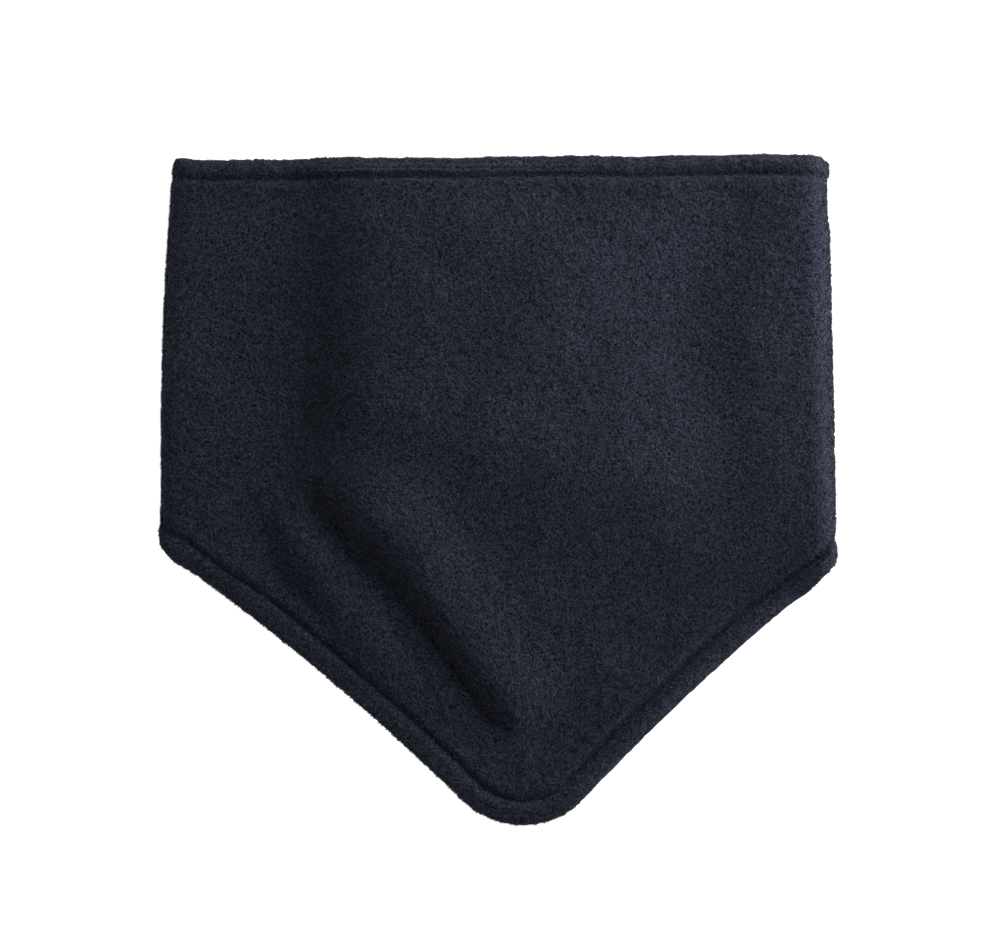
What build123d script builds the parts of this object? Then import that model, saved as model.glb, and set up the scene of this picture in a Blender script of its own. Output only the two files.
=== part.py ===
"""Double-layer fleece neck gaiter with a V-shaped bib, lying flat on its back.

X runs across the chest, Y runs up the neck and Z rises from the table. The origin is under the middle of the
outline, on the table. A flattened tube of two layers, a shell outside and a lining inside, is sewn from a front
and a back at two side seams. The front carries on past the back hem as the bib and droops onto the table.
"""
from build123d import *
from math import sin, atan, degrees, radians, sqrt
import os

# The whole gaiter
top_y = 130.5            # top edge of the tube
corner_y = -24.0         # back hem, and about where the bib starts
top_half_width = 127.6   # half the flat width at the top edge
corner_half_width = 132.0
thickness = 20.0         # the flattened tube, over both folds
fold_radius = thickness / 2

# The V-shaped edge of the bib
flank_reach = 160.0      # the flanks are drawn on past the corners, this far from the middle
left_flank_y = -3.6      # height of each flank at that reach
right_flank_y = -7.9
apex = (10.9, -145.8)    # where the flanks would meet
flank_radius = 950.0     # both flanks are slightly hollow
tip_radius = 34.0
corner_radius = 5.0

# The droop of the bib, from the top of the tube down to the table
drop_start = -40.0
drop_length = 50.0
hem_thickness = 7.0      # both layers at a hem, where their turned edges lie inside
drop_height = thickness - hem_thickness
drop_angle = 2 * degrees(atan(drop_height / drop_length))
drop_radius = drop_length / (2 * sin(radians(drop_angle)))

# The fleece, as depths below the outer surface
shell_ply = 2.6
shell_hem = 3.6          # the shell and its turned edge
lining_top = 2.8
lining_hem_top = 3.7
lining_bottom = 5.2
lining_hem = hem_thickness

# Hems and stitching
top_hem = 7.5            # top edge to its row of topstitching
bib_hem = 9.4
side_slope = (corner_half_width - top_half_width) / (top_y - corner_y)
back_hem = 11.4          # meets the bib's row at the side seams
hem_overlap = 2.0        # turned edges run this far past the stitching
thread_diameter = 0.45
stitch_length = 3.4
stitch_pitch = 4.0
groove_width = 1.6
groove_depth = 0.8
thread_clearance = 0.2
thread_depth = groove_depth - thread_diameter / 2 - thread_clearance
edge_groove = 0.9        # crevice between the shell and the lining, along every open edge
edge_groove_half = 0.6
seam_groove_depth = 0.6
seam_groove_half = 0.6
seam_top = 120.0         # the side seams' grooves run between the turned edges of the hems
seam_bottom = -7.0
seam_end = 0.5           # bare groove past the last stitch
plan_step = 0.2

# The care label inside the back
label_width = 38.0
label_height = 16.0
label_ply = 0.35
label_y = 108.0
label_margin = 2.0
label_corner = 1.0


def half_width(y):
    """Half the flat width of the tube at y."""
    return corner_half_width - side_slope * (y - corner_y)


def fold_centre(y):
    """Distance of each fold's axis from the middle at y."""
    return half_width(y) - fold_radius


# Plan shapes ------------------------------------------------------------------------------------------------

def hem_line(inset):
    """The V-shaped edge, drawn in by inset and carried on past the corners."""
    with BuildLine() as line:
        left = RadiusArc((-flank_reach, left_flank_y), apex, flank_radius)
        RadiusArc(left @ 1, (flank_reach, right_flank_y), flank_radius)
        fillet(line.vertices().sort_by(Axis.Y)[0], tip_radius)
    if inset == 0:
        return line.wire()
    return line.wire().offset_2d(inset, side=Side.LEFT, closed=False)


def tube_corners(top, bottom):
    """Corners of the tube's plan between two heights, from the lower left one."""
    return [
        (-half_width(bottom), bottom),
        (half_width(bottom), bottom),
        (half_width(top), top),
        (-half_width(top), top),
    ]


def round_corners(sketch):
    """The gaiter's four corners, rounded."""
    corners = sketch.vertices().filter_by(lambda v: abs(abs(v.X) - half_width(v.Y)) < 0.01)
    fillet(corners, corner_radius)


def front_plan(top_inset=0.0, hem_inset=0.0):
    """Plan of the front and bib, drawn in from its two open edges."""
    vee = hem_line(hem_inset)
    left_end, right_end = sorted((vee @ 0, vee @ 1), key=lambda end: end.X)
    with BuildSketch() as plan:
        with BuildLine():
            add(vee)
            Polyline(right_end, (flank_reach, top_y), (-flank_reach, top_y), left_end)
        make_face()
        with BuildLine():
            Polyline(*tube_corners(top_y - top_inset, apex[1]), close=True)
        make_face(mode=Mode.INTERSECT)
        if top_inset == 0 and hem_inset == 0:
            round_corners(plan)
    return plan.sketch


def back_plan(top_inset=0.0, hem_inset=0.0):
    """Plan of the back, drawn in from its two open edges."""
    with BuildSketch() as plan:
        with BuildLine():
            Polyline(*tube_corners(top_y - top_inset, corner_y + hem_inset), close=True)
        make_face()
        if top_inset == 0 and hem_inset == 0:
            round_corners(plan)
    return plan.sketch


def border(plan_of, top_inner, hem_inner, top_outer=0.0, hem_outer=0.0):
    """Strips of a plan that lie between two insets from its open edges."""
    outer = plan_of(top_outer, hem_outer)
    inner = plan_of(top_inner, hem_inner)
    with BuildSketch() as strips:
        add(outer)
        add(inner, mode=Mode.SUBTRACT)
    return strips.sketch


# Curved layers ----------------------------------------------------------------------------------------------

def front_profile(depth):
    """Side view of the front, sunk by depth: level over the tube, then an S-curve down onto the table."""
    level = Line((top_y, thickness - depth), (drop_start, thickness - depth))
    over = JernArc(level @ 1, level % 1, drop_radius - depth, drop_angle)
    under = JernArc(over @ 1, over % 1, drop_radius + depth, -drop_angle)
    Line(under @ 1, (apex[1], hem_thickness - depth))


def fold_plane(side):
    """Plane across a side fold at the top edge, with its X pointing outwards and its Z down the fold."""
    down = Vector(side * side_slope, -1, 0).normalized()
    return Plane(
        origin=(side * fold_centre(top_y), top_y, fold_radius),
        x_dir=down.cross(Vector(0, 0, -side)),
        z_dir=down,
    )


def fold_sector(side, upper, outer_depth, inner_depth):
    """Quarter ring of a fold, over or under the side seam, running past the corner."""
    with BuildSketch(fold_plane(side)) as ring:
        Circle(fold_radius - outer_depth)
        Circle(fold_radius - inner_depth, mode=Mode.SUBTRACT)
        rise = side if upper else -side
        with Locations((fold_radius / 2, rise * fold_radius / 2)):
            Rectangle(fold_radius, fold_radius, mode=Mode.INTERSECT)
    return ring.sketch.face()


def front_layer(outer_depth, inner_depth, plan):
    """Front fleece between two depths, over a plan."""
    rings = [fold_sector(side, True, outer_depth, inner_depth) for side in (-1, 1)]
    with BuildPart() as layer:
        with BuildSketch(Plane.YZ):
            with BuildLine():
                front_profile(outer_depth)
                front_profile(inner_depth)
                Line((top_y, thickness - outer_depth), (top_y, thickness - inner_depth))
                Line((apex[1], hem_thickness - outer_depth), (apex[1], hem_thickness - inner_depth))
            make_face()
        extrude(amount=corner_half_width, both=True)
        with BuildSketch():
            with BuildLine():
                Polyline(
                    (-fold_centre(apex[1]), apex[1]),
                    (fold_centre(apex[1]), apex[1]),
                    (fold_centre(top_y), top_y),
                    (-fold_centre(top_y), top_y),
                    close=True,
                )
            make_face()
        extrude(amount=thickness, mode=Mode.INTERSECT)
        for ring in rings:
            extrude(ring, amount=top_y - drop_start)
        add(plan)
        extrude(amount=thickness, mode=Mode.INTERSECT)
    return layer.part


def back_layer(outer_depth, inner_depth, plan):
    """Back fleece between two depths, over a plan."""
    rings = [fold_sector(side, False, outer_depth, inner_depth) for side in (-1, 1)]
    with BuildPart() as layer:
        with BuildSketch(Plane.XY.offset(outer_depth)):
            with BuildLine():
                Polyline(
                    (-fold_centre(corner_y), corner_y),
                    (fold_centre(corner_y), corner_y),
                    (fold_centre(top_y), top_y),
                    (-fold_centre(top_y), top_y),
                    close=True,
                )
            make_face()
        extrude(amount=inner_depth - outer_depth)
        for ring in rings:
            extrude(ring, amount=top_y - drop_start)
        add(plan)
        extrude(amount=thickness, mode=Mode.INTERSECT)
    return layer.part


def seam_groove(outer_depth, inner_depth):
    """Cuts for the side seams' stitches, between two depths, from hem to hem."""
    with BuildPart() as cuts:
        for side in (-1, 1):
            with BuildSketch(fold_plane(side).offset(top_y - seam_top)):
                with Locations((fold_radius - (outer_depth + inner_depth) / 2, 0)):
                    Rectangle(inner_depth - outer_depth, 2 * seam_groove_half)
            extrude(amount=seam_top - seam_bottom)
    return cuts.part


# Thread -----------------------------------------------------------------------------------------------------

def plan_points(wire):
    """Points along a plan line, a plan step apart."""
    count = round(wire.length / plan_step)
    return [wire.position_at(i / count) for i in range(count + 1)]


def level_line(y):
    """Plan points straight across the tube at y."""
    reach = half_width(y)
    count = round(2 * reach / plan_step)
    return [Vector(-reach + 2 * reach * i / count, y, 0) for i in range(count + 1)]


def front_height(y, depth):
    """Height of the front's side profile at y, sunk by depth."""
    drop_end = drop_start - drop_length
    if y >= drop_start:
        return thickness - depth
    if y <= drop_end:
        return hem_thickness - depth
    if y > drop_start - (drop_radius - depth) * sin(radians(drop_angle)):
        return thickness - drop_radius + sqrt((drop_radius - depth) ** 2 - (drop_start - y) ** 2)
    return hem_thickness + drop_radius - sqrt((drop_radius + depth) ** 2 - (y - drop_end) ** 2)


def lay(points, depth, on_front, inset=0.0):
    """Lifts plan points onto the front or back at a depth, leaving out any past the folds."""
    lifted = []
    for point in points:
        out = abs(point.X) - fold_centre(point.Y) if point.Y > drop_start else -1
        reach = fold_radius - depth
        if out > reach - inset:
            continue
        rise = sqrt(reach**2 - out**2) if out > 0 else reach
        z = fold_radius - rise
        if on_front:
            z = fold_radius + rise if out > 0 else front_height(point.Y, depth)
        lifted.append(Vector(point.X, point.Y, z))
    return lifted


def stitch_row(path, diameter=thread_diameter, length=stitch_length, pitch=stitch_pitch):
    """Separate straight stitches, one after another along a path."""
    travelled = [0.0]
    for here, there in zip(path, path[1:]):
        travelled.append(travelled[-1] + (there - here).length)
    count = int(travelled[-1] / pitch)
    spare = travelled[-1] - (count - 1) * pitch - length

    def along(distance):
        i = max(k for k, reached in enumerate(travelled[:-1]) if reached <= distance + 1e-9)
        share = (distance - travelled[i]) / (travelled[i + 1] - travelled[i])
        return path[i] + (path[i + 1] - path[i]) * share

    stitches = []
    for k in range(count):
        start = along(spare / 2 + k * pitch)
        end = along(spare / 2 + k * pitch + length)
        middle = Plane(origin=(start + end) / 2, z_dir=end - start)
        stitches.append(middle.location * Cylinder(diameter / 2, (end - start).length))
    return stitches


def save(piece, name):
    """Labels a finished piece and writes its STEP file."""
    piece.part.label = name
    export_step(piece.part, f"parts/{name}.step")


def save_stitches(stitches, name):
    """Labels a thread's stitches as one group and writes its STEP file."""
    thread = Compound(children=stitches)
    thread.label = name
    export_step(thread, f"parts/{name}.step")


os.makedirs("parts", exist_ok=True)

# The plans that the panels share
half_groove = groove_width / 2
front_outline = front_plan()
front_hems = border(front_plan, top_hem + hem_overlap, bib_hem + hem_overlap)
front_rows = border(
    front_plan, top_hem + half_groove, bib_hem + half_groove, top_hem - half_groove, bib_hem - half_groove
)
front_edges = border(front_plan, edge_groove, edge_groove)
back_outline = back_plan()
back_hems = border(back_plan, top_hem + hem_overlap, back_hem + hem_overlap)
back_rows = border(
    back_plan, top_hem + half_groove, back_hem + half_groove, top_hem - half_groove, back_hem - half_groove
)
back_edges = border(back_plan, edge_groove, edge_groove)

# Depth spans
outer_row = (0, groove_depth)
inner_row = (lining_hem - groove_depth, lining_hem)
crevice = (shell_hem + lining_hem_top) / 2
crevice_span = (crevice - edge_groove_half, crevice + edge_groove_half)
shell_seam_span = (shell_ply - seam_groove_depth, shell_ply)
lining_seam_span = (lining_top, lining_top + seam_groove_depth)

# Sub-part: front of the shell, with its bib
front_ply = front_layer(0, shell_ply, front_outline)
front_turned_edges = front_layer(shell_ply, shell_hem, front_hems)
front_row_groove = front_layer(*outer_row, front_rows)
front_crevice = front_layer(*crevice_span, front_edges)
shell_seam_groove = seam_groove(*shell_seam_span)
with BuildPart() as front_outer_panel:
    add(front_ply)
    add(front_turned_edges)
    add(front_row_groove, mode=Mode.SUBTRACT)
    add(front_crevice, mode=Mode.SUBTRACT)
    add(shell_seam_groove, mode=Mode.SUBTRACT)
save(front_outer_panel, "front_outer_panel")

# Sub-part: back of the shell
back_ply = back_layer(0, shell_ply, back_outline)
back_turned_edges = back_layer(shell_ply, shell_hem, back_hems)
back_row_groove = back_layer(*outer_row, back_rows)
back_crevice = back_layer(*crevice_span, back_edges)
with BuildPart() as back_outer_panel:
    add(back_ply)
    add(back_turned_edges)
    add(back_row_groove, mode=Mode.SUBTRACT)
    add(back_crevice, mode=Mode.SUBTRACT)
    add(shell_seam_groove, mode=Mode.SUBTRACT)
save(back_outer_panel, "back_outer_panel")

# Sub-part: lining of the front and bib
front_field = front_plan(top_hem + hem_overlap, bib_hem + hem_overlap)
lining_ply = front_layer(lining_top, lining_bottom, front_field)
lining_hems = front_layer(lining_hem_top, lining_hem, front_hems)
lining_row_groove = front_layer(*inner_row, front_rows)
lining_seam_groove = seam_groove(*lining_seam_span)
with BuildPart() as front_lining_panel:
    add(lining_ply)
    add(lining_hems)
    add(lining_row_groove, mode=Mode.SUBTRACT)
    add(front_crevice, mode=Mode.SUBTRACT)
    add(lining_seam_groove, mode=Mode.SUBTRACT)
save(front_lining_panel, "front_lining_panel")

# Sub-part: lining of the back
back_field = back_plan(top_hem + hem_overlap, back_hem + hem_overlap)
back_lining_ply = back_layer(lining_top, lining_bottom, back_field)
back_lining_hems = back_layer(lining_hem_top, lining_hem, back_hems)
back_lining_row_groove = back_layer(*inner_row, back_rows)
with BuildPart() as back_lining_panel:
    add(back_lining_ply)
    add(back_lining_hems)
    add(back_lining_row_groove, mode=Mode.SUBTRACT)
    add(back_crevice, mode=Mode.SUBTRACT)
    add(lining_seam_groove, mode=Mode.SUBTRACT)
save(back_lining_panel, "back_lining_panel")

# Sub-parts: the side seams' stitches, one row each side in the shell and in the lining
seam_ends = (seam_bottom + seam_end, seam_top - seam_end)
for side, side_name in ((-1, "left"), (1, "right")):
    for layer_name, span in (("shell", shell_seam_span), ("lining", lining_seam_span)):
        reach = sum(span) / 2
        seam_path = [Vector(side * (half_width(y) - reach), y, fold_radius) for y in seam_ends]
        save_stitches(stitch_row(seam_path), f"{side_name}_{layer_name}_seam_thread")

# Sub-parts: the rows round the two openings, over the front and under the back. The needle thread shows on the
# shell, the bobbin thread on the lining, and the edge seam lies in the crevice between them.
edge_inset = edge_groove - thread_diameter / 2 - thread_clearance
top_row = level_line(top_y - top_hem)
bib_row = plan_points(hem_line(bib_hem))
back_row = level_line(corner_y + back_hem)
top_seam = level_line(top_y - edge_inset)
bib_seam = plan_points(hem_line(edge_inset))
back_seam = level_line(corner_y + edge_inset)
bobbin_depth = lining_hem - thread_depth
thread_rows = (
    ("top_needle_thread", top_row, top_row, thread_depth, 0),
    ("top_bobbin_thread", top_row, top_row, bobbin_depth, 0),
    ("top_edge_seam_thread", top_seam, top_seam, crevice, corner_radius),
    ("bottom_needle_thread", bib_row, back_row, thread_depth, 0),
    ("bottom_bobbin_thread", bib_row, back_row, bobbin_depth, 0),
    ("bottom_edge_seam_thread", bib_seam, back_seam, crevice, corner_radius),
)
for name, over, beneath, depth, stop_short in thread_rows:
    over_stitches = stitch_row(lay(over, depth, True, stop_short))
    beneath_stitches = stitch_row(lay(beneath, depth, False, stop_short))
    save_stitches(over_stitches + beneath_stitches, name)

# Sub-part: a blank care label on the lining, inside the back below the top hem
with BuildPart() as care_label:
    with BuildSketch(Plane.XY.offset(lining_bottom)):
        with Locations((0, label_y)):
            RectangleRounded(label_width, label_height, label_corner)
    extrude(amount=label_ply)
save(care_label, "care_label")

# Sub-part: the label's stitches, a row down each end
label_stitches = []
for side in (-1, 1):
    x = side * (label_width / 2 - label_margin)
    z = lining_bottom + label_ply + thread_diameter / 2
    ends = [Vector(x, label_y + end * (label_height / 2 - label_margin / 2), z) for end in (-1, 1)]
    label_stitches += stitch_row(ends)
save_stitches(label_stitches, "care_label_thread")
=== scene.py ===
"""Double-layer fleece neck gaiter with a V-shaped bib, laid flat on a pale table and seen from above.

Lengths are millimetres up to the point where a mesh or object is made, and metres from there.
"""
import math

import bpy
import numpy as np
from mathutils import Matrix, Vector, noise


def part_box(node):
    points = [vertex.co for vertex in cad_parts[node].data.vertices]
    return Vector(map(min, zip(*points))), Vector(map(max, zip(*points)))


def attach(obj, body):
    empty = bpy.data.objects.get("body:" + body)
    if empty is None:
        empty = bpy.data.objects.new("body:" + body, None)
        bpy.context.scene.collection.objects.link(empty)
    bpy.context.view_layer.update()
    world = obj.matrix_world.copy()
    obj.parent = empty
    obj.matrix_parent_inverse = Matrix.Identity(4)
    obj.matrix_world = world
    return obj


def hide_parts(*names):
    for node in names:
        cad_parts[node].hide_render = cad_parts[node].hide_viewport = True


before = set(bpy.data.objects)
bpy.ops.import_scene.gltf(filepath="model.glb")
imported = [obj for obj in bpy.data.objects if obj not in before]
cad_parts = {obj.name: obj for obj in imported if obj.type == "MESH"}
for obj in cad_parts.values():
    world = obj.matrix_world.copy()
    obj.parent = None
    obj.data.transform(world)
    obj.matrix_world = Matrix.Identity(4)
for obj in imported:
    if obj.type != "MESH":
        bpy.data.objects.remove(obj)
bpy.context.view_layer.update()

MM = 0.001
BODY = "root"


# Camera, straight above ------------------------------------------------------------------------------------

VIEW_WIDTH = 390.0
VIEW_CENTRE = (0.8, 9.6)
CAMERA_HEIGHT = 2400.0
CAMERA_SUBJECT_Z = 12.0
SENSOR = 36.0

camera_data = bpy.data.cameras.new("camera")
camera = bpy.data.objects.new("camera", camera_data)
bpy.context.scene.collection.objects.link(camera)
camera_data.sensor_width = SENSOR
camera_data.lens = SENSOR * (CAMERA_HEIGHT - CAMERA_SUBJECT_Z) / VIEW_WIDTH
camera_data.clip_end = 20
camera.location = (VIEW_CENTRE[0] * MM, VIEW_CENTRE[1] * MM, CAMERA_HEIGHT * MM)
bpy.context.scene.camera = camera


# The outline in plan ---------------------------------------------------------------------------------------

def corner(node, high):
    """A node's lowest or highest corner in the frame, in millimetres."""
    return np.array(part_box(node)[1 if high else 0]) / MM


CORNER_Y = corner("back_outer_panel", False)[1]      # back hem
TIP_Y = corner("front_outer_panel", False)[1]
THICK = 19.0                                         # height of the flattened tube
FOLD = 9.5                                           # radius of the side folds
FOLD_Z = 9.5                                         # height of their axes
FLANK = 950.0                                        # the bib's flanks are slightly hollow arcs
TIP = 34.0                                           # radius of its rounded tip
TOP_HEM = 7.5                                        # edge to topstitching
BIB_HEM = 9.4
BACK_HEM = 10.4
TOP_Y = 130.2                                        # top edge, at the middle
FLANK_ENDS = (-160, -3.6), (160, -7.9)               # each flank's arc runs on to here, past the side fold
APEX = (10.9, TIP_Y - 15.5)                          # where the flanks would meet without the round tip


def smooth(t):
    """Eases from 0 to 1."""
    t = np.clip(t, 0, 1)
    return t * t * t * (t * (6 * t - 15) + 10)


def bump(t):
    """A bell of height 1 at t = 0."""
    return np.exp(-np.square(t))


def left_edge(y):
    """X of the left fold: it leans in towards the neck, and swells at the bib's hem."""
    return -131.4 + 4.6 * np.clip((y - 20) / 105, 0, 1.1) ** 2 - 0.8 * bump((y + 17) / 9)


def right_edge(y):
    """X of the right fold, which swells a little at both hems."""
    hems = 0.9 * bump((y - 127) / 5) + 0.7 * bump((y + 25) / 7)
    return 131.6 - 2.2 * np.clip(y / 100, 0, 1) - 1.2 * smooth((y - 98) / 14) + hems


def top_edge(x):
    """Y of the top edge, which runs slightly uphill and isn't quite straight."""
    left_rise = 0.5 * bump((x + 125) / 3)
    right_corner = 2.4 * np.clip((x - 122) / 6.5, 0, 1) ** 2.4
    wavy = TOP_Y + 0.0078 * x + 0.22 * np.sin(x / 12.5) + 0.16 * np.sin(x / 5.3 + 1)
    return wavy + left_rise - right_corner


def circle_through(p, q, radius):
    """Centre of the circle through two points, to the right of the way from p to q."""
    p, q = np.array(p), np.array(q)
    along = (q - p) / np.linalg.norm(q - p)
    half = np.linalg.norm(q - p) / 2
    return (p + q) / 2 + np.array([along[1], -along[0]]) * math.sqrt(radius**2 - half**2)


def touching(a, b, reach):
    """The upper of the two points at the same distance from a and b."""
    along = (b - a) / np.linalg.norm(b - a)
    half = np.linalg.norm(b - a) / 2
    return (a + b) / 2 + np.array([-along[1], along[0]]) * math.sqrt(reach**2 - half**2)


left_flank = circle_through(FLANK_ENDS[0], APEX, FLANK)
right_flank = circle_through(APEX, FLANK_ENDS[1], FLANK)
tip = touching(left_flank, right_flank, FLANK + TIP)
TIP_LEFT = (tip + (left_flank - tip) * TIP / (FLANK + TIP))[0]
TIP_RIGHT = (tip + (right_flank - tip) * TIP / (FLANK + TIP))[0]


def bib_edge(x):
    """The bib's edge at x: its y, and the direction square to it, into the cloth."""
    flank = np.where((x < tip[0])[..., None], left_flank, right_flank)
    across = x - flank[..., 0]
    rise = np.sqrt(FLANK**2 - across**2)
    y = flank[..., 1] + rise
    inward = np.stack([across, rise], -1) / FLANK
    round_tip = (x > TIP_LEFT) & (x < TIP_RIGHT)
    across = np.where(round_tip, x - tip[0], 0)
    drop = np.sqrt(TIP**2 - across**2)
    y = np.where(round_tip, tip[1] - drop, y)
    inward = np.where(round_tip[..., None], np.stack([-across, drop], -1) / TIP, inward)
    corners = 1.5 * bump((x + 127) / 5) + 1.9 * bump((x - 124) / 8)
    return y - corners, inward


def back_edge(x):
    """Y of the back hem, which meets the bib's hem at the side seams."""
    return CORNER_Y + 1.4 * smooth((-x - 95) / 36) - 5.6 * smooth((x - 85) / 46)


# How the front lies ----------------------------------------------------------------------------------------

ROUTE_STEPS = 80
LAID_TOP = 7.4           # height of the front where it lies on the table
LEAST_TOP = 6.9
LEFT_DROP = 4.4          # how much lower the front lies beside its left fold
MOUND = (24, 64)         # middle of a low rise in the neck
MOUND_HEIGHT, MOUND_RADIUS = 3.4, 42


def route(*points):
    """A smooth line through points given as (x, y)."""
    points = np.array(points, float)
    ends = np.vstack([2 * points[0] - points[1], points, 2 * points[-1] - points[-2]])
    t = np.linspace(0, len(points) - 1.0001, ROUTE_STEPS)
    i = t.astype(int)
    f = (t - i)[:, None]
    a, b, c, d = (ends[i + k] for k in range(4))
    return 0.5 * (2 * b + (c - a) * f + (2 * a - 5 * b + 4 * c - d) * f**2 + (3 * b - a - 3 * c + d) * f**3)


def crease(x, y, line, height, left, right, fade):
    """A soft fold along a line, with its own width on each side of the way the line runs. It fades in and out
    over a share of the line at each end."""
    flat_x, flat_y = x.ravel(), y.ravel()
    away = np.full(flat_x.shape, np.inf)
    nearest = np.zeros(flat_x.shape, int)
    for i, (px, py) in enumerate(line):
        gap = (flat_x - px) ** 2 + (flat_y - py) ** 2
        closer = gap < away
        away[closer] = gap[closer]
        nearest[closer] = i
    run = np.gradient(line, axis=0)
    run /= np.linalg.norm(run, axis=1)[:, None]
    to_x, to_y = flat_x - line[nearest, 0], flat_y - line[nearest, 1]
    side = run[nearest, 0] * to_y - run[nearest, 1] * to_x
    width = left + (right - left) * smooth(0.5 - side / (left + right))
    along = nearest / (len(line) - 1)
    strength = smooth(along / fade[0]) * smooth((1 - along) / fade[1])
    return (height * strength * bump(np.sqrt(away) / width)).reshape(x.shape)


MAIN_FOLD = route((-84, 20), (-66, 6), (-49, -9), (-31, -30), (-15, -56), (2, -80), (16, -99))
MAIN_VALLEY = route((-80, 3), (-61, -17), (-43, -37), (-27, -62), (-9, -86), (3, -102))
LEFT_FOLD = route((-92, 6), (-80, -16), (-66, -40), (-46, -66), (-24, -90))
LEFT_VALLEY = route((-98, -2), (-91, -20), (-79, -40), (-64, -58))
NECK_STEP = route((-49, 128), (-49, 90), (-50, 55), (-54, 30), (-60, 10))
NECK_SHADE = route((-62, 124), (-64, 84), (-70, 46), (-82, 14))
RIGHT_VALLEY = route((90, 120), (85, 62), (87, 22), (92, -14), (90, -36))
RIGHT_CORNER = route((88, 122), (96, 108), (104, 92))
BIB_FALL = route((-52, 26), (-20, 20), (20, 14), (56, 8), (86, -4))

# Line, height, width to the left and right of the way it runs, and fade at its start and end
CREASES = (
    (MAIN_FOLD, 6.0, 19, 8.5, (0.36, 0.2)),
    (MAIN_VALLEY, -3.2, 8, 8, (0.25, 0.15)),
    (LEFT_FOLD, 2.6, 9, 8, (0.3, 0.3)),
    (LEFT_VALLEY, -1.6, 7, 7, (0.35, 0.35)),
    (NECK_STEP, 3.5, 70, 13, (0.03, 0.42)),
    (NECK_SHADE, -1.0, 10, 16, (0.05, 0.25)),
    (RIGHT_VALLEY, -2.3, 10, 24, (0.12, 0.5)),
    (RIGHT_CORNER, -0.9, 8, 8, (0.3, 0.3)),
    (BIB_FALL, 1.4, 20, 16, (0.2, 0.2)),
)


def undulation(x, y, scale, seed):
    """Slow random waves over the cloth, from about -1 to 1."""
    values = [noise.noise(Vector((a / scale, b / scale, seed))) for a, b in zip(x.ravel(), y.ravel())]
    return np.array(values).reshape(x.shape) * 1.6


def front_top(x, y):
    """Height of the front's upper surface between its hems: level over the back, then down onto the table."""
    edge_y, inward = bib_edge(x)
    from_edge = np.maximum((y - edge_y) * inward[..., 1], 0)
    held_up = smooth((y + 66) / 84)
    past_back = smooth((back_edge(x) - y) / 20)
    held_up = held_up * (1 - past_back * (1 - smooth((from_edge + 2) / 46)))
    height = LAID_TOP + (THICK - LAID_TOP) * held_up
    height -= LEFT_DROP * smooth((-x - 46) / 50) * held_up
    for line, rise, left, right, fade in CREASES:
        height += crease(x, y, line, rise, left, right, fade)
    height += MOUND_HEIGHT * bump(np.hypot(x - MOUND[0], y - MOUND[1]) / MOUND_RADIUS)
    height += 0.6 * undulation(x, y, 38, 3.1) + 0.3 * undulation(x, y, 15, 8.4)
    return np.maximum(height, LEAST_TOP)


# Panels ----------------------------------------------------------------------------------------------------

LINING_FACE = 5.5        # depth of the lining's skin side below the shell's outer face
HEM_THICK = 7.2          # both layers and their turned edges, at a hem
TOP_HEM_ENDS = 13.0      # how far in from an edge a hem's extra thickness has faded out
LOW_HEM_ENDS = 15.0
HEM_FADE = 5.0           # the width it fades over
HEM_MARGIN = 3.0         # how much further in the back makes room for the bib's hem
FAR = 99.0               # stands for well away from the lower hem
CREVICE = 3.7            # depth of the seam between shell and lining at an edge
EDGE_ROUND = 3.0         # how far in from an edge the rim starts to roll over
EDGE_TUCK = 1.5          # how far in its seam lies
SEAM_ROUND = 1.2         # the same at a side seam
SHELL_ALLOWANCE = 3.5    # depths of the edges turned in at the side seams
LINING_ALLOWANCE = 3.9
GROOVE = 1.3             # depth of the cloth at a row of topstitching
PUFF_AWAY = 3.6          # how far from the row it puffs up, on both sides
ROUND_FOLD = 0.65        # share of its depth that a row loses at the outermost point of a side fold
PANEL_GAP = 0.9          # kept between the two linings, for the lumps of their pile
LEAST_SQUEEZE = 0.35     # least share of its thickness that the back keeps under the front
LEFT_SEAM = 22.0         # degrees: the left seam is turned a little onto the front, the right one under
RIGHT_SEAM = -22.0
FINE_ROW = 0.6           # spacing of the rows in a hem
LOW_REACH = 16.0         # the rows that follow the lower hem, and the top one
TOP_REACH = 12.0
TURNED_COLUMNS = 3       # columns of a side seam's turned edge, at each side of a panel
LUMP_FLOOR = 0.03        # least height of the cloth above the table
LUMP, LUMP_SIZE = 0.3, 2.7       # unevenness of the pile: height, and size in plan
GRAIN, GRAIN_SIZE = 0.26, 1.4
PAINTED_SHADE_BY_FOLD = 0.7    # how much painted shade darkens the pile beside the neck's fold, and low on the bib
PAINTED_SHADE_ON_BIB = 0.38


def back_squeeze(x, y):
    """Share of its thickness that the back keeps, where the front presses on it."""
    edge_y, inward = bib_edge(x)
    from_low = (y - edge_y) * inward[..., 1]
    at_top = smooth((TOP_HEM_ENDS - (top_edge(x) - y)) / HEM_FADE)
    at_hem = np.maximum(at_top, smooth((LOW_HEM_ENDS + HEM_MARGIN - from_low) / HEM_FADE))
    room = front_top(x, y) - LINING_FACE - (HEM_THICK - LINING_FACE) * at_hem - PANEL_GAP
    return np.clip(room / HEM_THICK, LEAST_SQUEEZE, 1)


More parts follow.
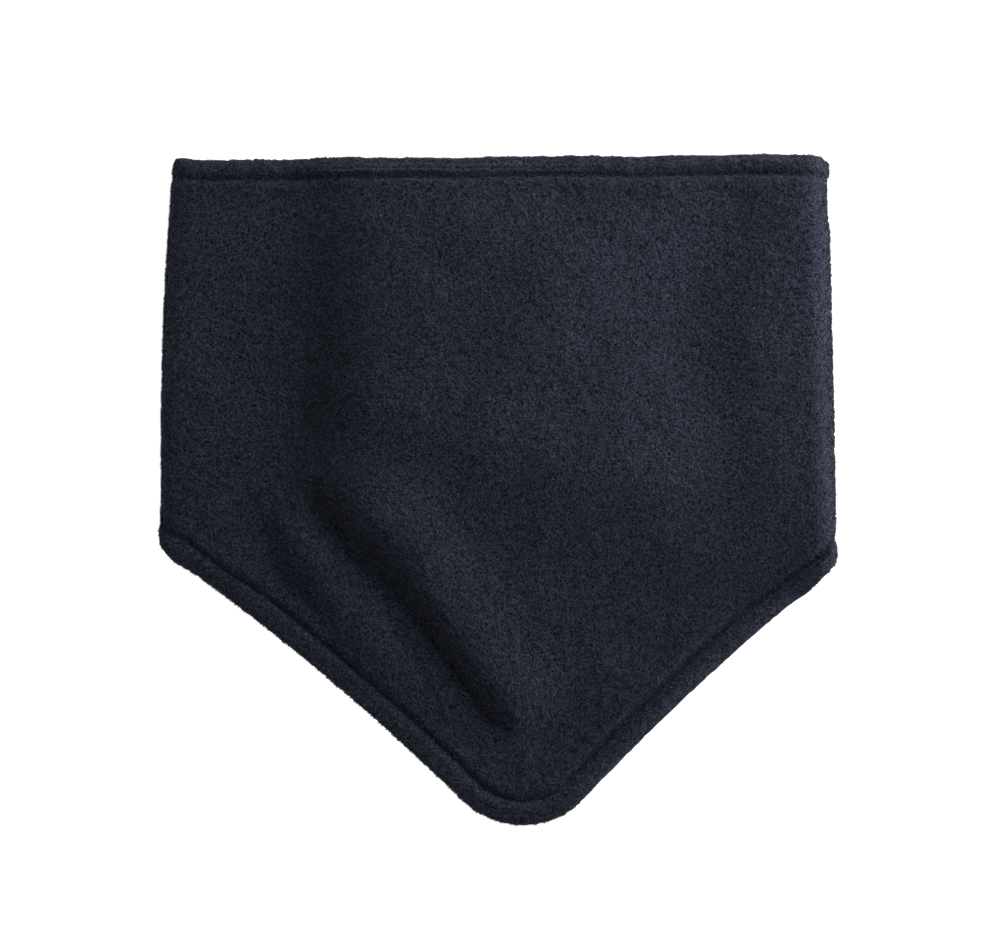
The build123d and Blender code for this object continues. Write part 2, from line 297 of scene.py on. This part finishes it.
class Columns:
    """The lengthwise lines of a panel, from its left seam, over its folds, to its right seam."""

    def __init__(self, is_front, spacing):
        seams = (LEFT_SEAM, RIGHT_SEAM) if is_front else (-LEFT_SEAM, -RIGHT_SEAM)
        roll = np.radians(np.linspace(0, 90, 5))
        round_angle = np.degrees(SEAM_ROUND * (1 - np.cos(roll)) / FOLD)
        folds = []
        for seam in seams:
            count = round(FOLD * math.radians(80 - seam) / spacing)
            arc = np.linspace(seam + 10, 90, count, endpoint=False)
            theta = np.concatenate([np.full(TURNED_COLUMNS, seam), seam + round_angle, arc])
            inner = np.concatenate([[1.0, 0.8, 0.55], 0.34 * (1 - np.sin(roll)), np.zeros(count)])
            folds.append((theta, inner))
        (left_theta, left_inner), (right_theta, right_inner) = folds
        middle = round(2 * (130 - FOLD) / spacing)
        self.share = np.concatenate(
            [np.full(len(left_theta), -1.0), np.linspace(-1, 1, middle), np.full(len(right_theta), 1.0)]
        )
        self.theta = np.radians(np.concatenate([left_theta, np.full(middle, 90.0), right_theta[::-1]]))
        self.turned_in = np.concatenate([left_inner, np.zeros(middle), right_inner[::-1]])

    def plan_x(self, y):
        """X of each column at its own y."""
        left, right = left_edge(y) + FOLD, right_edge(y) - FOLD
        flat = (left + right) / 2 + self.share * (right - left) / 2
        return flat + self.share * FOLD * np.cos(self.theta)


def edge_rows(reach, turned):
    """Rows at an open edge, from the field round the rim into the turned edge: distance in, and share of the
    rim's depth."""
    field = np.linspace(reach, EDGE_ROUND, round((reach - EDGE_ROUND) / FINE_ROW))[:-1]
    roll = np.radians(np.arange(90, -76, -11))
    width = np.where(roll > 0, EDGE_ROUND, EDGE_TUCK)
    hidden = np.array([2.4, 4.5, turned])
    distance = np.concatenate([field, width * (1 - np.cos(roll)), hidden])
    share = np.concatenate([np.zeros(len(field)), (1 - np.sin(roll)) / 2, np.ones(3)])
    return distance, share


def stitch_dip(distance, hem, softness=1.0):
    """Depth of the cloth near a row of topstitching: pulled in along it, and puffed up on both sides."""
    puff = 0.5 * bump((distance - hem + PUFF_AWAY) / 2.0) + 0.35 * bump((distance - hem - PUFF_AWAY) / 2.6)
    return GROOVE * softness * bump((distance - hem) / (1.35 * softness)) - puff


def rolled_over(x):
    """How far the seam of the bib's right flank has rolled over onto the front, showing the lining's edge."""
    return smooth((x - 22) / 30) * (1 - 0.45 * smooth((x - 105) / 20))


def grid_piece(name, points, outward):
    """A piece from a grid of points in millimetres. It faces up if outward is 1, and down if it is -1."""
    rows, cols = points.shape[:2]
    index = np.arange(rows * cols).reshape(rows, cols)
    quads = np.stack([index[:-1, :-1], index[1:, :-1], index[1:, 1:], index[:-1, 1:]], -1).reshape(-1, 4)
    if outward < 0:
        quads = quads[:, ::-1]
    mesh = bpy.data.meshes.new(name)
    mesh.vertices.add(rows * cols)
    mesh.vertices.foreach_set("co", (points.reshape(-1) * MM).astype(np.float32))
    mesh.loops.add(quads.size)
    mesh.loops.foreach_set("vertex_index", quads.reshape(-1).astype(np.int32))
    mesh.polygons.add(len(quads))
    mesh.polygons.foreach_set("loop_start", np.arange(0, quads.size, 4, dtype=np.int32))
    mesh.polygons.foreach_set("use_smooth", np.ones(len(quads), bool))
    mesh.update(calc_edges=True)
    return link(name, mesh)


def link(name, mesh):
    """A new piece in the scene, riding on the gaiter's one body."""
    piece = bpy.data.objects.new(name, mesh)
    bpy.context.scene.collection.objects.link(piece)
    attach(piece, BODY)
    return piece


def grid_normals(points):
    """Unit normals of a grid of points, upwards where it lies flat."""
    normal = np.cross(np.gradient(points, axis=0), np.gradient(points, axis=1))
    return normal / np.maximum(np.linalg.norm(normal, axis=-1, keepdims=True), 1e-9)


class Panel:
    """One of the four fleece panels, as a grid of rows from the top edge to the lower hem."""

    def __init__(self, is_front, is_lining, spacing):
        self.is_front, self.is_lining = is_front, is_lining
        self.columns = Columns(is_front, spacing)
        self.hem = BIB_HEM if is_front else BACK_HEM
        self.find_foot()
        self.head = top_edge(np.clip(self.columns.plan_x(np.full(self.foot_y.shape, 120.0)), -128, 128))
        self.points = self.grid(spacing)

    def find_foot(self):
        """Where each column meets the lower edge, found by going back and forth between x and y."""
        y = np.full(self.columns.share.shape, CORNER_Y)
        inward = np.stack([np.zeros_like(y), np.ones_like(y)], -1)
        for _ in range(8):
            x = self.columns.plan_x(y)
            if self.is_front:
                y, inward = bib_edge(x)
            else:
                y = back_edge(x)
        from_side = np.minimum(x - left_edge(y), right_edge(y) - x)
        self.upright = 1 - smooth((from_side - 6) / 30)
        way = inward * (1 - self.upright)[:, None] + np.array([0, 1]) * self.upright[:, None]
        self.way = way / np.sum(way * inward, axis=1)[:, None]
        self.foot_x, self.foot_y = x, y

    def low_row(self, distance):
        """Plan of a row at a distance in from the lower edge."""
        x = self.foot_x + distance * self.way[:, 0]
        y = self.foot_y + distance * self.way[:, 1]
        return x * (1 - self.upright) + self.columns.plan_x(y) * self.upright, y

    def top_row(self, distance):
        """Plan of a row at a distance down from the top edge."""
        y = self.head - distance
        return self.columns.plan_x(y), y

    def grid(self, spacing):
        """The panel's points, in rows that follow its hems and an even field between them."""
        low_distance, low_share = edge_rows(LOW_REACH, self.hem)
        top_distance, top_share = (values[::-1] for values in edge_rows(TOP_REACH, TOP_HEM))
        rolled = rolled_over(self.foot_x) if self.is_front else np.zeros(self.foot_x.shape)
        inset = 0.5 * (1 - rolled) if self.is_lining else 1.5 * rolled
        crevice = CREVICE - 1.6 * rolled
        self.softness = 0.88 + 0.75 * rolled

        out = low_distance[:, None] + inset
        low_x, low_y = self.low_row(out)
        top_x, top_y = self.top_row(top_distance[:, None] + np.zeros(inset.shape))
        count = round((top_y[-1].max() - low_y[0].min()) / spacing)
        share = np.linspace(0, 1, count + 1)[1:-1, None]
        mid_y = top_y[-1] + (low_y[0] - top_y[-1]) * share
        drift = low_x[0] - self.columns.plan_x(low_y[0])
        mid_x = self.columns.plan_x(mid_y) + drift * smooth(share)

        x = np.vstack([top_x, mid_x, low_x])
        y = np.vstack([top_y, mid_y, low_y])
        self.from_top = self.head - y
        self.from_low = np.vstack([np.full(top_y.shape, FAR), LOW_REACH + mid_y - low_y[0], out])
        rim = np.zeros(x.shape)
        rim[: len(top_share)] = top_share[:, None]
        rim[-len(low_share):] = low_share[:, None]
        self.rim = rim
        seam = np.full(x.shape, CREVICE)
        seam[-len(low_share):] = crevice
        return self.lift(x, y, self.depth(rim, seam))

    def depth(self, rim, seam):
        """Depth of each grid point below the shell's outer face. The side seams' allowances are turned in
        between the two layers."""
        at_foot = stitch_dip(self.from_low, self.hem, self.softness)
        stitched = (stitch_dip(self.from_top, TOP_HEM) + at_foot) * self.on_fold()
        if self.is_lining:
            at_top = smooth((TOP_HEM_ENDS - self.from_top) / HEM_FADE)
            at_hem = np.maximum(at_top, smooth((LOW_HEM_ENDS - self.from_low) / HEM_FADE))
            face = LINING_FACE + (HEM_THICK - LINING_FACE) * at_hem - 0.7 * stitched * (1 - rim)
            face = face - rim * (HEM_THICK - seam)
            return face + (LINING_ALLOWANCE - face) * self.columns.turned_in
        face = stitched * (1 - rim) + rim * seam
        return face + (SHELL_ALLOWANCE - face) * self.columns.turned_in

    def on_fold(self):
        """Share of a row's full depth, which is less where it goes round the side folds."""
        return 1 - ROUND_FOLD * np.cos(self.columns.theta)

    def groove(self, row):
        """Depth of the cloth along a row of topstitching."""
        return GROOVE * self.on_fold() * (1 if row == "top" else self.softness)

    def lift(self, x, y, depth):
        """Carries plan points onto the panel, round its folds, at a depth below the shell's outer face."""
        lean = np.broadcast_to(np.cos(self.columns.theta) * self.columns.share, x.shape)
        rise = np.broadcast_to(np.sin(self.columns.theta), x.shape) * (1 if self.is_front else -1)
        above = front_top(x, y) - FOLD_Z - depth if self.is_front or rise.max() > 0 else 0
        z = FOLD_Z + rise * np.where(rise > 0, above, FOLD_Z - depth * back_squeeze(x, y))
        return np.stack([x - depth * np.where(np.abs(lean) > 1e-9, lean, 0), y, np.maximum(z, 0.05)], -1)

    def row_path(self, row, distance, depth):
        """A line of points along a row of stitches, from seam to seam."""
        x, y = self.top_row(distance) if row == "top" else self.low_row(distance)
        return self.lift(x, y, depth + np.zeros(x.shape))[TURNED_COLUMNS:-TURNED_COLUMNS]


def pile_lumps(points):
    """Unevenness of the brushed pile, in millimetres."""
    flat = points.reshape(-1, 3)
    lumps = [
        LUMP * noise.noise(Vector(p) / LUMP_SIZE) + GRAIN * noise.noise(Vector(p) / GRAIN_SIZE)
        for p in flat
    ]
    return np.array(lumps).reshape(points.shape[:2])


def painted_pile_shade(panel):
    """From 0 to 1, how much painted shade darkens the pile's colour on a panel: in the grooves along the rows
    of stitching, and on the front beside the neck's fold and low on the bib, where the cloth's slopes shade
    too little. From 0 to 1, how far the pile of a panel is pressed and so darker: by the rows of stitching,
    and on the front, as a guess, by handling beside the neck's fold and low on the bib."""
    at_top = bump((panel.from_top - TOP_HEM) / 1.1)
    stitched = np.maximum(at_top, bump((panel.from_low - panel.hem) / (1.5 * panel.softness)))
    if not panel.is_front:
        return stitched
    x, y = panel.points[..., 0], panel.points[..., 1]
    beside_fold = PAINTED_SHADE_BY_FOLD * bump((x + 68) / 23) * smooth((118 - y) / 50) * smooth((y + 24) / 26)
    on_bib = PAINTED_SHADE_ON_BIB * smooth((-26 - y) / 40) * smooth((panel.from_low - 4) / 14)
    return np.maximum(stitched, beside_fold + on_bib)


def make_panel(name, is_front, is_lining, spacing, flat, area):
    """A panel with its pile, as a sheet. Its flat size, in metres, is not used."""
    panel = Panel(is_front, is_lining, spacing)
    outward = 1 if is_front != is_lining else -1
    panel.points = panel.points + grid_normals(panel.points) * pile_lumps(panel.points)[..., None]
    panel.points[..., 2] = np.maximum(panel.points[..., 2], LUMP_FLOOR)
    piece = grid_piece(name, panel.points, outward)
    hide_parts(name)
    piece.data.materials.append(fleece[is_lining])
    # painted shade on the pile: in the stitching grooves, beside the neck's fold and low on the bib
    painted_shade = piece.data.attributes.new("painted_shade", "FLOAT", "POINT")
    painted_shade.data.foreach_set("value", painted_pile_shade(panel).reshape(-1).astype(np.float32))
    pile = []
    if not is_lining:
        pile = [fibre_piece(f"{name}_pile", fibres(panel, outward, RANDOM), loose_pile)]
    return panel


# Loose fibre -----------------------------------------------------------------------------------------------

FIBRE_RADIUS = 0.2
FIBRES_TO_MM2 = 3.0
SHORTEST_FIBRE, LONGEST_FIBRE = 0.5, 1.25
FIBRE_SCATTER = 0.6      # how far their directions stray from square to the cloth
FIBRE_ROOT = 0.1         # how deep they start in it


def fibres(panel, outward, random):
    """Spikes standing out of a panel where it turns away from the sky: over its folds and round its rims."""
    grid = panel.points
    normal = grid_normals(grid) * outward
    across, along = grid[:-1, 1:] - grid[:-1, :-1], grid[1:, :-1] - grid[:-1, :-1]
    area = np.linalg.norm(np.cross(across, along), axis=-1)
    sideways = smooth((0.93 - np.abs(normal[:-1, :-1, 2])) / 0.4)
    shown = (panel.rim[:-1, :-1] < 0.8) & (panel.columns.turned_in[:-1] < 0.2)
    count = random.poisson(FIBRES_TO_MM2 * area * sideways * shown)
    row, col = (np.repeat(i.ravel(), count.ravel()) for i in np.indices(count.shape))
    step = random.random((len(row), 2, 1))
    root = grid[row, col] + step[:, 0] * along[row, col] + step[:, 1] * across[row, col]
    way = normal[row, col] + random.normal(0, FIBRE_SCATTER, root.shape)
    way /= np.linalg.norm(way, axis=1)[:, None]
    end = root + way * random.uniform(SHORTEST_FIBRE, LONGEST_FIBRE, (len(row), 1))
    side = np.cross(way, (0.3, 0.2, 0.93))
    side *= FIBRE_RADIUS / np.maximum(np.linalg.norm(side, axis=1)[:, None], 1e-6)
    other = np.cross(way, side)
    root = root - way * FIBRE_ROOT
    spikes = np.stack([root + side, root - side / 2 + other, root - side / 2 - other, end], 1)
    spikes[..., 2] = np.maximum(spikes[..., 2], 0.02)
    return spikes[end[:, 2] > 0.1]


def fibre_piece(name, spikes, material):
    """One piece of closed three-sided spikes."""
    faces = np.array([[0, 1, 3], [1, 2, 3], [2, 0, 3], [0, 2, 1]])
    corners = np.arange(len(spikes))[:, None, None] * 4 + faces
    mesh = bpy.data.meshes.new(name)
    mesh.from_pydata((spikes.reshape(-1, 3) * MM).tolist(), [], corners.reshape(-1, 3).tolist())
    mesh.materials.append(material)
    piece = link(name, mesh)
    return piece


# Thread ----------------------------------------------------------------------------------------------------

THREAD_RADIUS = 0.24
STITCH = 3.3
PITCH = 4.0
DIVE = 0.75              # how far a stitch's ends go into the cloth
STITCH_RINGS = 8
STITCH_SIDES = 8


def along_path(path):
    """Reads a point off a path at any distance along it."""
    gaps = np.linalg.norm(np.diff(path, axis=0), axis=1)
    travelled = np.concatenate([[0], np.cumsum(gaps)])
    return travelled[-1], lambda at: np.stack([np.interp(at, travelled, path[:, k]) for k in range(3)], -1)


def stitches(paths, into, radius=THREAD_RADIUS, pitch=PITCH, length=STITCH):
    """Rings of points for a stitch in each pitch along some paths. Its ends dive into the cloth."""
    tubes = []
    for path in paths:
        total, read = along_path(path)
        count = int(total / pitch)
        start = (total - count * pitch + pitch - length) / 2
        for k in range(count):
            t = np.linspace(0, 1, STITCH_RINGS)
            line = read(start + k * pitch + t * length)
            line = line + np.array(into) * (DIVE * np.abs(2 * t - 1) ** 3)[:, None]
            run = np.gradient(line, axis=0)
            run /= np.linalg.norm(run, axis=1)[:, None]
            side = np.cross(run, into)
            side /= np.linalg.norm(side, axis=1)[:, None]
            rise = np.cross(side, run)
            turn = np.linspace(0, 2 * math.pi, STITCH_SIDES, endpoint=False)
            thin = radius * np.sqrt(np.clip(1 - (2 * t - 1) ** 6, 0.05, 1))[:, None, None]
            ring = np.cos(turn)[:, None] * side[:, None] + np.sin(turn)[:, None] * rise[:, None]
            tubes.append(line[:, None] + thin * ring)
    return np.array(tubes)


def stitch_piece(name, groups):
    """One piece holding every stitch of a thread, closed at both ends."""
    tubes = np.concatenate([group for group in groups if len(group)])
    count, rings, sides = tubes.shape[:3]
    one = np.arange(rings * sides).reshape(rings, sides)
    turned = np.roll(one, -1, axis=1)
    quads = np.stack([one[:-1], turned[:-1], turned[1:], one[1:]], -1).reshape(-1, 4)
    faces = [list(map(int, quad)) for quad in quads] + [one[0][::-1].tolist(), one[-1].tolist()]
    every = [[v + k * rings * sides for v in face] for k in range(count) for face in faces]
    mesh = bpy.data.meshes.new(name)
    mesh.from_pydata((tubes.reshape(-1, 3) * MM).tolist(), [], every)
    mesh.polygons.foreach_set("use_smooth", np.ones(len(mesh.polygons), bool))
    mesh.materials.append(thread)
    piece = link(name, mesh)
    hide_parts(name)
    return piece


# Materials -------------------------------------------------------------------------------------------------

class Nodes:
    """A material's node tree, with short ways to add to it."""

    def __init__(self, name):
        self.material = bpy.data.materials.new(name)
        self.material.use_nodes = True
        self.tree = self.material.node_tree
        self.shader = self.tree.nodes["Principled BSDF"]
        self.place = self.add("ShaderNodeTexCoord").outputs["Object"]

    def add(self, kind, **values):
        """A new node, with its settings."""
        node = self.tree.nodes.new(kind)
        for key, value in values.items():
            setattr(node, key, value)
        return node

    def join(self, source, target):
        """Links an output to an input."""
        self.tree.links.new(source, target)

    def noise(self, scale, detail=2.0, roughness=0.5, distortion=0.0, stretch=(1, 1, 1), turn=0.0):
        """Noise of so many features to the metre, stretched and turned in the cloth's plane."""
        mapping = self.add("ShaderNodeMapping")
        mapping.inputs["Scale"].default_value = stretch
        mapping.inputs["Rotation"].default_value = (0, 0, turn)
        self.join(self.place, mapping.inputs["Vector"])
        texture = self.add("ShaderNodeTexNoise")
        texture.inputs["Scale"].default_value = scale
        texture.inputs["Detail"].default_value = detail
        texture.inputs["Roughness"].default_value = roughness
        texture.inputs["Distortion"].default_value = distortion
        self.join(mapping.outputs[0], texture.inputs["Vector"])
        return texture.outputs["Fac"]

    def sum(self, a, share_a, b, share_b):
        """Two values added in shares."""
        first = self.add("ShaderNodeMath", operation="MULTIPLY")
        first.inputs[1].default_value = share_a
        self.join(a, first.inputs[0])
        both = self.add("ShaderNodeMath", operation="MULTIPLY_ADD")
        both.inputs[1].default_value = share_b
        self.join(b, both.inputs[0])
        self.join(first.outputs[0], both.inputs[2])
        return both.outputs[0]

    def ramp(self, value, *stops):
        """Colours at positions along a value."""
        ramp = self.add("ShaderNodeValToRGB")
        for element, (position, colour) in zip(ramp.color_ramp.elements, (stops[0], stops[-1])):
            element.position = position
            element.color = (*colour, 1)
        for position, colour in stops[1:-1]:
            ramp.color_ramp.elements.new(position).color = (*colour, 1)
        self.join(value, ramp.inputs["Fac"])
        return ramp.outputs["Color"]

    def multiply(self, a, b):
        """Two colours multiplied."""
        mix = self.add("ShaderNodeMix", data_type="RGBA", blend_type="MULTIPLY")
        mix.inputs["Factor"].default_value = 1.0
        self.join(a, mix.inputs[6])
        self.join(b, mix.inputs[7])
        return mix.outputs[2]

    def bump(self, height, distance):
        """Fine relief, its distance in metres."""
        node = self.add("ShaderNodeBump")
        node.inputs["Distance"].default_value = distance
        node.inputs["Strength"].default_value = 1.0
        self.join(height, node.inputs["Height"])
        self.join(node.outputs[0], self.shader.inputs["Normal"])

    def set(self, **values):
        """Sets the shader's own values, a space in an input's name written as _."""
        for key, value in values.items():
            self.shader.inputs[key.replace("_", " ")].default_value = value


def grey(value):
    """A neutral colour."""
    return (value, value, value)


def fleece_material(name, tint):
    """Brushed fleece: matt clumps of short fibre with their own uneven tone and painted shade between them,
    with a faint velvety sheen.
    """
    nodes = Nodes(name)
    tufts = nodes.noise(1060, 2.0, 0.6, 1.0)
    strands = nodes.noise(1300, 2.0, 0.6, 0.8, (1.0, 0.8, 1.0), 0.6)
    clumps = nodes.noise(330, 2.0, 0.5, 0.8)
    brushed = nodes.noise(34, 3.0, 0.55, 0.5)
    pile = nodes.sum(nodes.sum(tufts, 0.6, strands, 0.4), 0.93, clumps, 0.07)
    # the colour follows the bump's pile height: painted shade in the hollows between tufts, over the pile's
    # own uneven tone
    deep = tuple(0.04 * c for c in tint)
    pale = tuple(2.7 * c for c in tint)
    colour = nodes.ramp(pile, (0.4, deep), (0.5, tint), (0.62, pale))
    patches = nodes.ramp(brushed, (0.3, grey(0.82)), (0.7, grey(1.0)))
    # painted shade: the share kept on the mesh darkens the pile's colour to half at most
    painted_shade = nodes.add("ShaderNodeAttribute", attribute_name="painted_shade").outputs["Fac"]
    painted_darkening = nodes.ramp(painted_shade, (0.0, grey(1.0)), (1.0, grey(0.5)))
    whole = nodes.multiply(nodes.multiply(colour, patches), painted_darkening)
    nodes.join(whole, nodes.shader.inputs["Base Color"])
    nodes.bump(pile, 0.0018)
    nodes.set(Roughness=0.95, IOR=1.3, Specular_IOR_Level=0.2, Sheen_Weight=0.16, Sheen_Roughness=0.5)
    nodes.shader.inputs["Sheen Tint"].default_value = (0.42, 0.5, 0.72, 1)
    return nodes.material


def thread_material():
    """Spun polyester sewing thread, two plies twisted, a shade darker than the fleece."""
    nodes = Nodes("sewing_thread")
    twist = nodes.noise(2600, 2.0, 0.5, 0.0, (1.0, 0.35, 1.0), 0.7)
    colour = nodes.ramp(twist, (0.35, (0.006, 0.007, 0.011)), (0.65, (0.016, 0.019, 0.028)))
    nodes.join(colour, nodes.shader.inputs["Base Color"])
    nodes.bump(twist, 0.0002)
    nodes.set(Roughness=0.55, IOR=1.45)
    return nodes.material


def label_material():
    """Pale woven satin ribbon, with its fine cross ribs."""
    nodes = Nodes("label_satin")
    ribs = nodes.add("ShaderNodeTexWave", wave_type="BANDS", bands_direction="Y")
    ribs.inputs["Scale"].default_value = 1100
    ribs.inputs["Distortion"].default_value = 0.6
    nodes.join(nodes.place, ribs.inputs["Vector"])
    slubs = nodes.noise(500, 2.0, 0.5, 0.0, (0.15, 1.0, 1.0))
    face = nodes.sum(ribs.outputs["Fac"], 0.6, slubs, 0.4)
    nodes.join(nodes.ramp(face, (0.2, grey(0.42)), (0.8, grey(0.6))), nodes.shader.inputs["Base Color"])
    nodes.bump(face, 0.00008)
    nodes.set(Roughness=0.42, IOR=1.45, Sheen_Weight=0.1)
    return nodes.material


fleece = {False: fleece_material("shell_fleece", (0.0165, 0.0188, 0.0298)),
          True: fleece_material("lining_fleece", (0.0158, 0.018, 0.0285))}
loose_pile = fleece_material("loose_pile", (0.042, 0.044, 0.06))      # paler tint, painted light: stands in for light shining through the thin loose fibres at the rims
thread = thread_material()
label_satin = label_material()


# Making the gaiter -----------------------------------------------------------------------------------------

RANDOM = np.random.default_rng(7)
FRONT_CUT = ((0.302, 0.281), 0.0665)                 # flat size in metres, and area
BACK_CUT = ((0.302, 0.172), 0.0505)
FINE, MEDIUM, COARSE = 0.97, 1.4, 1.8                # spacings of the panels' grids
NEEDLE_SUNK = 0.12                                   # the needle thread lies this deep in its groove
BOBBIN_DEPTH = 5.9
DOWN, UP = (0, 0, -1), (0, 0, 1)

front = make_panel("front_outer_panel", True, False, FINE, *FRONT_CUT)
back = make_panel("back_outer_panel", False, False, COARSE, *BACK_CUT)
make_panel("front_lining_panel", True, True, MEDIUM, *FRONT_CUT)
make_panel("back_lining_panel", False, True, COARSE, *BACK_CUT)

for row, front_hem, back_hem in (("top", TOP_HEM, TOP_HEM), ("bottom", BIB_HEM, BACK_HEM)):
    needle, bobbin, edge = [], [], []
    for panel, hem, inwards, outwards in ((front, front_hem, DOWN, UP), (back, back_hem, UP, DOWN)):
        needle.append(stitches([panel.row_path(row, hem, panel.groove(row) + NEEDLE_SUNK)], inwards))
        bobbin.append(stitches([panel.row_path(row, hem, BOBBIN_DEPTH)], outwards))
        edge.append(stitches([panel.row_path(row, EDGE_TUCK, CREVICE)], inwards))
    stitch_piece(f"{row}_needle_thread", needle)
    stitch_piece(f"{row}_bobbin_thread", bobbin)
    stitch_piece(f"{row}_edge_seam_thread", edge)


def side_seam(side, depth):
    """The line of a side seam at a depth below the shell's outer face, between the hems."""
    y = np.linspace(-3, 119, 60)
    seam = math.radians(LEFT_SEAM if side < 0 else RIGHT_SEAM)
    edge = left_edge(y) if side < 0 else right_edge(y)
    x = edge - side * (FOLD - (FOLD - depth) * math.cos(seam))
    over = front_top(edge - side * FOLD, y) - FOLD_Z if seam > 0 else np.full_like(y, FOLD_Z)
    return np.stack([x, y, FOLD_Z + (over - depth) * math.sin(seam)], -1)


for side, side_name in ((-1, "left"), (1, "right")):
    for layer, depth in (("shell", 2.6), ("lining", 3.4)):
        row = stitches([side_seam(side, depth)], (-side, 0, 0))
        stitch_piece(f"{side_name}_{layer}_seam_thread", [row])


# Care label ------------------------------------------------------------------------------------------------

LABEL_HALF = (19.0, 7.8)
LABEL_SEWN = 17          # its rows of stitches, from its middle
LABEL_LIFT = 0.75        # the height it lies at over the lining's skin side


def make_care_label():
    """A blank satin ribbon with its ends turned under, sewn down at both ends."""
    middle = (corner("care_label", False) + corner("care_label", True)) / 2
    wide, deep = LABEL_HALF
    across = np.concatenate([[-17.0, -18.6], np.linspace(-wide, wide, 60), [18.6, 17.0]])
    x, y = np.meshgrid(across, np.linspace(-deep, deep, 26)[::-1])
    turned_under = np.zeros(len(across))
    turned_under[:2] = turned_under[-2:] = 0.3
    sewn = bump((np.abs(x) - LABEL_SEWN) / 1.6)
    z = LINING_FACE + LABEL_LIFT + 0.5 * (1 - sewn) * np.cos(x / 9) ** 2 - turned_under - 0.25 * sewn
    care_label = grid_piece("care_label", np.stack([x + middle[0], y + middle[1], z], -1), 1)
    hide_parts("care_label")
    care_label.data.materials.append(label_satin)
    rows = [
        np.array([(middle[0] + x, middle[1] + y, LINING_FACE + 0.8) for y in np.linspace(-7, 7, 20)])
        for x in (-LABEL_SEWN, LABEL_SEWN)
    ]
    label_stitches = stitch_piece("care_label_thread", [stitches(rows, DOWN, 0.18, 2.6, 2.1)])


make_care_label()


# Table and lights, in metres and watts ---------------------------------------------------------------------

TABLE_HALF = 4.0
FLOOR_GLOW = 1.0


def stage_floor():
    """A square white table top."""
    half = TABLE_HALF
    mesh = bpy.data.meshes.new("floor")
    corners = [(-half, -half, 0), (half, -half, 0), (half, half, 0), (-half, half, 0)]
    mesh.from_pydata(corners, [], [(0, 1, 2, 3)])
    floor = bpy.data.objects.new("floor", mesh)
    bpy.context.scene.collection.objects.link(floor)
    nodes = Nodes("white_table")
    nodes.shader.inputs["Base Color"].default_value = (0.86, 0.86, 0.86, 1)
    nodes.shader.inputs["Emission Color"].default_value = (1, 1, 1, 1)
    nodes.set(Roughness=0.9, Emission_Strength=FLOOR_GLOW)
    mesh.materials.append(nodes.material)


def area_light(name, place, size, power, colour):
    """A square soft box, aimed at the gaiter."""
    data = bpy.data.lights.new(name, "AREA")
    data.size = size
    data.energy = power
    data.color = colour
    light = bpy.data.objects.new(name, data)
    light.location = place
    light.visible_camera = False
    light.rotation_euler = Vector(place).to_track_quat("Z", "Y").to_euler()
    bpy.context.scene.collection.objects.link(light)


stage_floor()
area_light("key", (0.65, 0.53, 0.5), 0.4, 10.8, (1.0, 0.985, 0.96))
area_light("side", (0.8, 0.2, 0.055), 0.1, 6.5, (1.0, 0.9, 0.95))
area_light("fill", (0.1, 0.3, 2.0), 1.4, 6.0, (0.93, 0.96, 1.0))
bpy.context.scene.view_settings.view_transform = "Standard"
world = bpy.data.worlds.new("studio")
bpy.context.scene.world = world
world.use_nodes = True
background = world.node_tree.nodes["Background"]
background.inputs["Color"].default_value = (0.97, 0.98, 1.0, 1)
background.inputs["Strength"].default_value = 0.22
